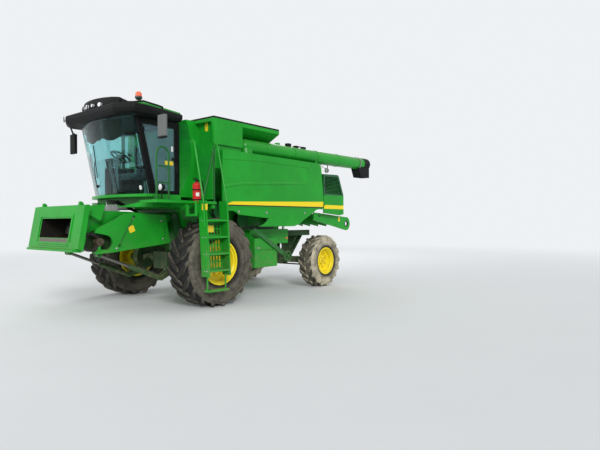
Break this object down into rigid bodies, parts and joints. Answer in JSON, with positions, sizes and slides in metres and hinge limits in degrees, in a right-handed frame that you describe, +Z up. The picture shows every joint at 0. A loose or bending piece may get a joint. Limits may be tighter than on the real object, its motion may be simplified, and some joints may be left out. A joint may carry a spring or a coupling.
{
  "type": "combine harvester",
  "caption": "Self-propelled combine harvester without its header: glazed cab, grain tank with folded unloading tube, feeder house, side panels, straw spreader and lugged tyres.",
  "frame": {"origin": "middle of the machine's footprint box on the ground", "axes": "+X points forward, the way the cab looks; +Y points to the machine's left, where the ladder is; +Z points up"},
  "size_m": [8.2858, 3.67, 3.9471],
  "materials": {
    "body_green": "glossy green paint, lightly dusty",
    "chassis_green": "dark green paint with field dust",
    "rim_yellow": "glossy yellow paint",
    "tyre": "dusty black tyre rubber",
    "rubber": "moulded black rubber",
    "black_plastic": "matt black moulded plastic",
    "cab_black": "satin black paint",
    "glass": "lightly tinted safety glass",
    "steel": "worn bare steel",
    "dark_steel": "oily dark steel",
    "lamp": "clear lamp lens",
    "seat_cloth": "dark grey woven seat cloth",
    "red_paint": "glossy red paint"
  },
  "bodies": {
    "root": {"chassis": "chassis_green", "axle_hanger": "chassis_green", "drawbar_hitch": "chassis_green", "front_axle": "chassis_green", "rear_axle": "chassis_green", "separator_body": "body_green", "engine": "dark_steel", "engine_deck": "body_green", "grain_tank": "body_green", "tank_augers": "steel", "auger_turret": "chassis_green", "rear_hood": "body_green", "chopper_housing": "chassis_green", "cab_floor": "body_green", "cab_frame": "cab_black", "cab_glass": "glass", "cab_roof": "black_plastic", "roof_cap": "body_green", "roof_lamps": "lamp", "seat": "seat_cloth", "cab_controls": "black_plastic", "mirrors": "black_plastic", "platform": "body_green", "handrails": "chassis_green", "fire_extinguisher": "red_paint", "service_box": "body_green", "belt_drive": "chassis_green", "grain_elevator": "body_green"},
    "front_left_wheel": {"front_left_rim": "rim_yellow", "front_left_tyre": "tyre"},
    "front_right_wheel": {"front_right_rim": "rim_yellow", "front_right_tyre": "tyre"},
    "rear_left_wheel": {"rear_left_rim": "rim_yellow", "rear_left_tyre": "tyre"},
    "rear_right_wheel": {"rear_right_rim": "rim_yellow", "rear_right_tyre": "tyre"},
    "left_knuckle": {"knuckle_left": "chassis_green"},
    "right_knuckle": {"knuckle_right": "chassis_green"},
    "track_rod": {"tie_rod": "dark_steel"},
    "left_cover": {"tank_cover_left": "black_plastic"},
    "right_cover": {"tank_cover_right": "black_plastic"},
    "swing_auger": {"unloading_auger": "body_green", "auger_spout": "rubber"},
    "left_panel": {"left_side_panel": "body_green"},
    "right_panel": {"right_side_panel": "body_green"},
    "rotor": {"chopper_rotor": "steel"},
    "air_screen": {"rotary_screen": "dark_steel"},
    "spreader": {"straw_spreader": "body_green"},
    "door": {"cab_door": "cab_black", "door_glass": "glass"},
    "ladder_arm": {"ladder": "body_green", "ladder_steps": "body_green", "ladder_rails": "body_green", "ladder_grille": "body_green"},
    "feeder": {"feeder_house": "body_green", "feeder_chain": "dark_steel", "feeder_drive": "body_green", "header_coupler": "steel"},
    "lift_barrel_pair": {"lift_barrels": "chassis_green"},
    "lift_rod_pair": {"lift_rods": "steel"}
  },
  "joints": [
    {"name": "front_left_roll", "type": "hinge", "parent": "root", "child": "front_left_wheel", "pos_m": [1.69286, 1.23, 0.835], "axis": [0, 1, 0], "continuous": true},
    {"name": "front_right_roll", "type": "hinge", "parent": "root", "child": "front_right_wheel", "pos_m": [1.69286, -1.51, 0.835], "axis": [0, 1, 0], "continuous": true},
    {"name": "steer", "type": "hinge", "parent": "root", "child": "left_knuckle", "pos_m": [-1.91714, 0.84, 0.63], "axis": [0, 0, 1], "range_deg": [-30, 30]},
    {"name": "right_steer", "type": "hinge", "parent": "root", "child": "right_knuckle", "pos_m": [-1.91714, -1.12, 0.63], "axis": [0, 0, 1], "range_deg": [-31, 31]},
    {"name": "track_rod_slide", "type": "slide", "parent": "root", "child": "track_rod", "axis": [0, 1, 0], "range_m": [-0.11, 0.11]},
    {"name": "rear_left_roll", "type": "hinge", "parent": "left_knuckle", "child": "rear_left_wheel", "pos_m": [-1.91714, 1.14, 0.63], "axis": [0, 1, 0], "continuous": true},
    {"name": "rear_right_roll", "type": "hinge", "parent": "right_knuckle", "child": "rear_right_wheel", "pos_m": [-1.91714, -1.42, 0.63], "axis": [0, 1, 0], "continuous": true},
    {"name": "feeder_lift", "type": "hinge", "parent": "root", "child": "feeder", "pos_m": [2.04286, -0.14, 1.7], "axis": [0, 1, 0], "range_deg": [0, 28]},
    {"name": "lift_barrel_swing", "type": "hinge", "parent": "root", "child": "lift_barrel_pair", "pos_m": [2.26286, -0.14, 0.515], "axis": [0, 1, 0], "range_deg": [0, 30.55]},
    {"name": "lift_rod_slide", "type": "slide", "parent": "lift_barrel_pair", "child": "lift_rod_pair", "axis": [0.9254, 0, 0.3789], "range_m": [-0.5882, 0]},
    {"name": "auger_swing", "type": "hinge", "parent": "root", "child": "swing_auger", "pos_m": [0.68286, 1.13, 3.164], "axis": [0, -0.1736, 0.9848], "range_deg": [-95, 0]},
    {"name": "ladder_swing", "type": "hinge", "parent": "root", "child": "ladder_arm", "pos_m": [2.33286, 1.56, 1.85], "axis": [0, 0, -1], "range_deg": [0, 90]},
    {"name": "door_swing", "type": "hinge", "parent": "root", "child": "door", "pos_m": [2.74786, 0.826, 2.11], "axis": [-0.212, 0, -0.9773], "range_deg": [0, 70]},
    {"name": "left_cover_fold", "type": "hinge", "parent": "root", "child": "left_cover", "pos_m": [1.69286, 1.31, 3.597], "axis": [-1, 0, 0], "range_deg": [0, 100]},
    {"name": "right_cover_fold", "type": "hinge", "parent": "root", "child": "right_cover", "pos_m": [1.69286, -1.59, 3.597], "axis": [1, 0, 0], "range_deg": [0, 100]},
    {"name": "left_panel_lift", "type": "hinge", "parent": "root", "child": "left_panel", "pos_m": [1.69286, 1.34, 3.005], "axis": [1, 0, 0], "range_deg": [0, 60]},
    {"name": "right_panel_lift", "type": "hinge", "parent": "root", "child": "right_panel", "pos_m": [1.69286, -1.62, 3.005], "axis": [-1, 0, 0], "range_deg": [0, 60]},
    {"name": "spreader_tilt", "type": "hinge", "parent": "root", "child": "spreader", "pos_m": [-1.82714, -0.14, 1.765], "axis": [0, -1, 0], "range_deg": [0, 12]},
    {"name": "screen_spin", "type": "hinge", "parent": "root", "child": "air_screen", "pos_m": [-0.95714, -1.53, 3.06], "axis": [0, 1, 0], "continuous": true},
    {"name": "rotor_spin", "type": "hinge", "parent": "root", "child": "rotor", "pos_m": [-2.16714, -0.14, 2.06], "axis": [0, 1, 0], "continuous": true}
  ],
  "couplings": [
    {"joint": "right_steer", "follows": "steer", "ratio": 1},
    {"joint": "track_rod_slide", "follows": "steer", "m_per_rad": -0.2},
    {"joint": "lift_barrel_swing", "follows": "feeder_lift", "ratio": 1.0593},
    {"joint": "lift_rod_slide", "follows": "feeder_lift", "m_per_rad": -1.1917}
  ]
}
